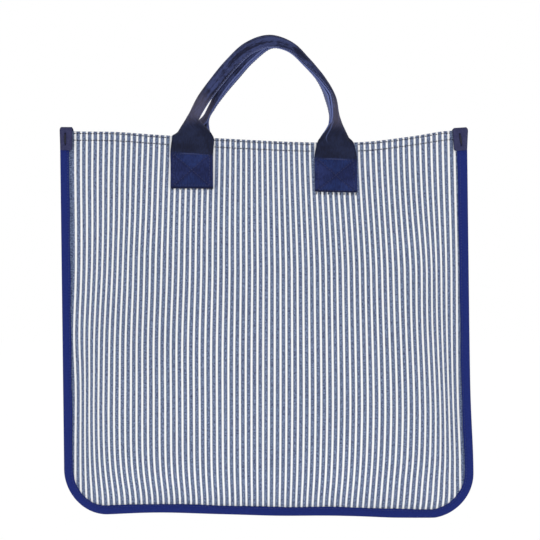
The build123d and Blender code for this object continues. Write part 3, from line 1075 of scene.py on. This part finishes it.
def handleLine(arch):
    # the strip's middle line and its seen width, from the foot of the left end to the foot of the right one
    mouth = mouthHeight(handle["endX"])
    middle = handle["offCloth"] + 0.5 * handle["thickness"]
    ends = {}
    for end in (-1, 1):
        sewn = np.linspace(handle["endFoot"] - handle["longer"][end], handle["hinge"], 5)
        sewnDepth = swell(np.full_like(sewn, handle["endX"]), sewn) + middle
        endX = -end * handle["endX"]
        ends[end] = [(endX, -depth, h, handle["width"]) for depth, h in zip(sewnDepth, sewn)]
        ends[end].append((endX + handle["mouthShift"][end], -handle["baseDepth"], mouth, handle["width"]))
    top = max(rise for x, rise, width in arch)
    curve = []
    for x, rise, width in arch:
        depth = handle["baseDepth"] + (handle["topDepth"] - handle["baseDepth"]) * rise / top
        curve.append((x, -depth, mouth + rise, width))
    line = throughPoints(np.array(ends[-1] + curve + ends[1][::-1]), handle["step"])
    onLeft = np.arange(len(line)) < len(line) / 2
    neckRise = np.where(onLeft, arch[0][1], arch[-1][1])
    neckWidth = np.where(onLeft, arch[0][2], arch[-1][2])
    mouthWidth = np.where(onLeft, handle["mouthWidth"][-1], handle["mouthWidth"][1])
    power = np.where(onLeft, handle["flare"][-1], handle["flare"][1])
    gather = np.clip((line[:, 2] - mouth) / neckRise, 0.0, 1.0)
    upFlap = np.clip((line[:, 2] - handle["hinge"]) / (mouth - handle["hinge"]), 0.0, 1.0)
    free = handle["width"] + (mouthWidth - handle["width"]) * upFlap ** handle["flapPower"]
    eased = (1 + handle["neckEase"]) * gather**2 / (gather + handle["neckEase"])
    flare = neckWidth + (mouthWidth - neckWidth) * (1 - eased) ** power
    width = np.where(gather > 0, flare, free)
    return line[:, :3], np.where(gather < 1, width, line[:, 3]), gather


def sectionCurve(close):
    # the strip's cross section: flat at 0, rolled into a closed ring near 1
    columns = handle["columns"]
    w = np.linspace(-0.5, 0.5, columns)
    turn = 2 * math.pi * close * w
    halfway = 0.5 * (turn[1:] + turn[:-1])
    across = runUp(np.cos(halfway)) / (columns - 1)
    back = runUp(-np.sin(halfway)) / (columns - 1)
    return (across - across.mean()) * handle["width"], (back - back.mean()) * handle["width"]


def fitSpan(values, span):
    # centre the values on 0 and stretch them to a span
    low, high = values.min(), values.max()
    return (values - 0.5 * (low + high)) * span / max(high - low, 1e-6)


def handlePoints(arch, twists):
    line, width, gather = handleLine(arch)
    mouth = mouthHeight(handle["endX"])
    tangent = unit(np.gradient(line, axis=0))
    facing = unit(np.array([0.0, -1.0, 0.0]) - tangent * (-tangent[:, 1:2]))
    outside = np.cross(facing, tangent)
    rise = line[:, 2] - mouth
    run = (np.arange(len(line)) - 0.5 * (len(line) - 1)) * handle["step"]
    places, angles = zip(*twists)
    twist = np.radians(np.interp(run, places, angles)) * ramp(rise, *handle["twistRise"])
    clearTop, clearOver = handle["clearRise"]
    points, flat = [], []
    spread = np.linspace(-0.5, 0.5, handle["columns"])
    for i in range(len(line)):
        across, back = sectionCurve(handle["close"] * gather[i] ** handle["rollPower"])
        up = math.cos(twist[i]) * facing[i] + math.sin(twist[i]) * outside[i]
        local = across[:, None] * np.cross(tangent[i], up) + back[:, None] * up
        seen, deep = local @ outside[i], local @ facing[i]
        seen = fitSpan(seen, width[i] - handle["thickness"] * min(1.0, 2 * gather[i]))
        deep = deep + (fitSpan(deep, handle["gripDepth"] - handle["thickness"]) - deep) * gather[i]
        row = line[i] + seen[:, None] * outside[i] + deep[:, None] * facing[i]
        if rise[i] < 0:  # the sewn end follows the panel
            onCloth = -(swell(row[:, 0], row[:, 2]) + handle["offCloth"] + 0.5 * handle["thickness"])
            hold = smooth((handle["hinge"] - line[i, 2] + handle["liftOff"]) / handle["liftOff"])
            row[:, 1] = row[:, 1] + (onCloth - row[:, 1]) * hold
        clothFace = swell(row[:, 0], np.minimum(row[:, 2], mouthHeight(row[:, 0]))) + bag["canvas"]
        clear = np.minimum(row[:, 1], -clothFace - 0.5 * handle["thickness"])
        row[:, 1] = row[:, 1] + (clear - row[:, 1]) * smooth((clearTop - rise[i]) / clearOver)
        points.append(row)
        flat.append(join(spread * handle["width"], run[i]))
    return np.array(points), np.array(flat)


def seamRun(points, mirrored):
    # stitches that close the folded grip, near one edge of the strip
    column = handle["columns"] - 1 - handle["seamColumn"]
    rise = points[:, :, 2].mean(axis=1) - mouthHeight(handle["endX"])
    rows = np.nonzero(rise > handle["seamRise"])[0]
    rows = np.arange(rows[0], rows[-1])
    along = points[rows + 1, column] - points[rows - 1, column]
    across = points[rows, column + 1] - points[rows, column - 1]
    outward = unit(np.cross(across, along))
    line = points[rows, column] + outward * 0.5 * handle["thickness"]
    return stitchRun(settle(line * mirrored), outward * mirrored, handle["stitchPitch"])


def boxRuns(side):
    # a sewn box with a cross in it on each end
    runs = []
    halfW = 0.5 * handle["width"] - handle["boxMargin"]
    for end in (-1, 1):
        centre = -end * handle["endX"]
        low = handle["endFoot"] - handle["longer"][end] + handle["boxMargin"]
        high = handle["hinge"] - handle["boxTop"] - handle["rowGap"]
        corners = [(-halfW, low), (halfW, low), (halfW, high), (-halfW, high)]
        cross = [(corners[0], corners[2]), (corners[1], corners[3])]
        for (xa, ha), (xb, hb) in list(zip(corners, corners[1:] + corners[:1])) + cross:
            t = np.linspace(0.0, 1.0, 30)
            x, h = centre + xa + (xb - xa) * t, ha + (hb - ha) * t
            y = side * (swell(x, h) + handle["offCloth"] + handle["thickness"])
            outward = np.tile([0.0, side, 0.0], (len(t), 1))
            runs.append(stitchRun(settle(join(x, y, h)), outward, handle["stitchPitch"]))
    return runs


def edgeRuns(side):
    # short stitches over the lower edge of each end
    runs = []
    inset = 0.5 * handle["width"] - handle["edgeInset"]
    for end in (-1, 1):
        x = -end * handle["endX"] + np.linspace(-inset, inset, int(2 * inset / handle["edgePitch"]) + 1)
        foot = handle["endFoot"] - handle["longer"][end]
        onCloth = swell(x, foot) + 0.5 * bag["canvas"]
        onStrip = onCloth + handle["thickness"]
        top = settle(join(x, side * onStrip, foot + handle["overEdge"]))
        low = settle(join(x, side * onCloth, foot - handle["overEdge"]))
        runs.append((top, low, np.tile([0.0, side, 0.0], (len(x), 1))))
    return runs


frontLine = handleLine(handle["frontArch"])[0]
webbing = webbingMaterial(0.5 * pathLength(frontLine))
gripThread = threadMaterial("gripThread", threads["gripColor"])
for side, name in ((-1, "front"), (1, "back")):
    points, flat = handlePoints(handle[name + "Arch"], handle[name + "Twist"])
    mirrored = np.array([1.0, -side, 1.0])
    strip = thickSheet(
        name + "Handle", settle(points * mirrored), flat, webbing, handle["thickness"], handle["edge"]
    )
    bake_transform(strip)
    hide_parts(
        name + "_left_handle_end", name + "_right_handle_end", name + "_handle_loop"
    )
    seam = stitchPiece(
        name + "HandleStitches", [seamRun(points, mirrored)], threads["gripSize"], gripThread
    )
    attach(seam, name + "_handle")
    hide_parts(name + "_handle_seam")
boxYarn = threadMaterial("boxThread", threads["boxColor"])
boxThread = stitchPiece("boxStitches", boxRuns(-1) + boxRuns(1), threads["boxSize"], boxYarn)
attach(boxThread, "bag")
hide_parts("handle_box_stitches")
edgeThread = stitchPiece("endStitches", edgeRuns(-1) + edgeRuns(1), threads["endSize"], hemThread)
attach(edgeThread, "bag")
print("handles gathered and sewn on")


# Floor, light and camera
studio = {
    "floorGap": 0.0025,  # the tilted bottom edge reaches this far down
    "floorSize": 3.0,
    "floorColor": (0.9, 0.9, 0.9, 1.0),
    "floorRough": 0.9,
    "floorGlow": 0.985,  # share of plain white that the camera sees
    "floorLight": 0.50,  # light that the lit floor sends back up
    "worldLevel": 0.69,
    "cameraX": 0.0039,
    "cameraDistance": 1.25,
    "cameraHeight": 0.2285,  # above the bag's bottom edge
    "viewWidth": 0.504,  # width seen at the seam plane
    "lamps": [  # name, place, aim, width, height and power
        ("lowFront", (0.15, -1.7, -0.28), (0.0, 0.0, -0.32), 1.6, 0.28, 2.4),
        ("softFront", (0.3, -1.8, 0.6), (0.0, 0.0, -0.22), 1.3, 0.9, 1.7),
        ("softLeft", (-1.4, -1.3, 0.0), (0.0, 0.0, -0.22), 1.0, 1.0, 0.2),
        ("softBack", (-0.3, 1.9, 0.0), (0.0, 0.0, -0.22), 1.3, 0.9, 2.5),
    ],
}


def whiteToCamera():
    # 1 for rays that come from the camera, a mirror or a glass
    rays = newNode("ShaderNodeLightPath").outputs
    seen = calc("MAXIMUM", rays["Is Camera Ray"], rays["Is Glossy Ray"])
    return calc("MAXIMUM", seen, rays["Is Transmission Ray"])


def layFloor():
    half = studio["floorSize"]
    z = bag["bottom"] - studio["floorGap"]
    mesh = bpy.data.meshes.new("studioFloor")
    corners = [(-half, -half, z), (half, -half, z), (half, half, z), (-half, half, z)]
    mesh.from_pydata(corners, [], [(0, 1, 2, 3)])
    material = bpy.data.materials.new("studioFloor")
    material.use_nodes = True
    tree = work["tree"] = material.node_tree
    shader = tree.nodes["Principled BSDF"].inputs
    shader["Base Color"].default_value = studio["floorColor"]
    shader["Roughness"].default_value = studio["floorRough"]
    shader["Emission Color"].default_value = (1.0, 1.0, 1.0, 1.0)
    shader["Emission Strength"].default_value = studio["floorLight"]
    glow = newNode("ShaderNodeEmission")
    blend = newNode("ShaderNodeMixShader")
    feed(blend.inputs[0], times(whiteToCamera(), studio["floorGlow"]))
    feed(blend.inputs[1], tree.nodes["Principled BSDF"].outputs[0])
    feed(blend.inputs[2], glow.outputs[0])
    feed(tree.nodes["Material Output"].inputs["Surface"], blend.outputs[0])
    floor = finishPiece("studioFloor", mesh, material)


def lightWorld():
    world = bpy.data.worlds.new("studio")
    world.use_nodes = True
    tree = work["tree"] = world.node_tree
    background = tree.nodes["Background"]
    background.inputs["Color"].default_value = (1.0, 1.0, 1.0, 1.0)
    level = calc("MULTIPLY_ADD", whiteToCamera(), 1 - studio["worldLevel"], studio["worldLevel"])
    feed(background.inputs["Strength"], level)
    bpy.context.scene.world = world


def hangLamp(name, place, aim, width, height, power):
    lamp = bpy.data.lights.new(name, "AREA")
    lamp.shape = "RECTANGLE"
    lamp.size, lamp.size_y = width, height
    lamp.energy = power
    piece = bpy.data.objects.new(name, lamp)
    piece.location = place
    piece.rotation_euler = (Vector(aim) - Vector(place)).to_track_quat("-Z", "Y").to_euler()
    bpy.context.scene.collection.objects.link(piece)


layFloor()
lightWorld()
for lamp in studio["lamps"]:
    hangLamp(*lamp)

camera = bpy.data.objects.new("camera", bpy.data.cameras.new("camera"))
camera.location = (studio["cameraX"], -studio["cameraDistance"], bag["bottom"] + studio["cameraHeight"])
camera.rotation_euler = (math.radians(90), 0.0, 0.0)
camera.data.sensor_fit = "HORIZONTAL"
camera.data.angle = 2 * math.atan(0.5 * studio["viewWidth"] / studio["cameraDistance"])
bpy.context.scene.collection.objects.link(camera)
bpy.context.scene.camera = camera
bpy.context.scene.view_settings.view_transform = "Standard"
print("studio set")
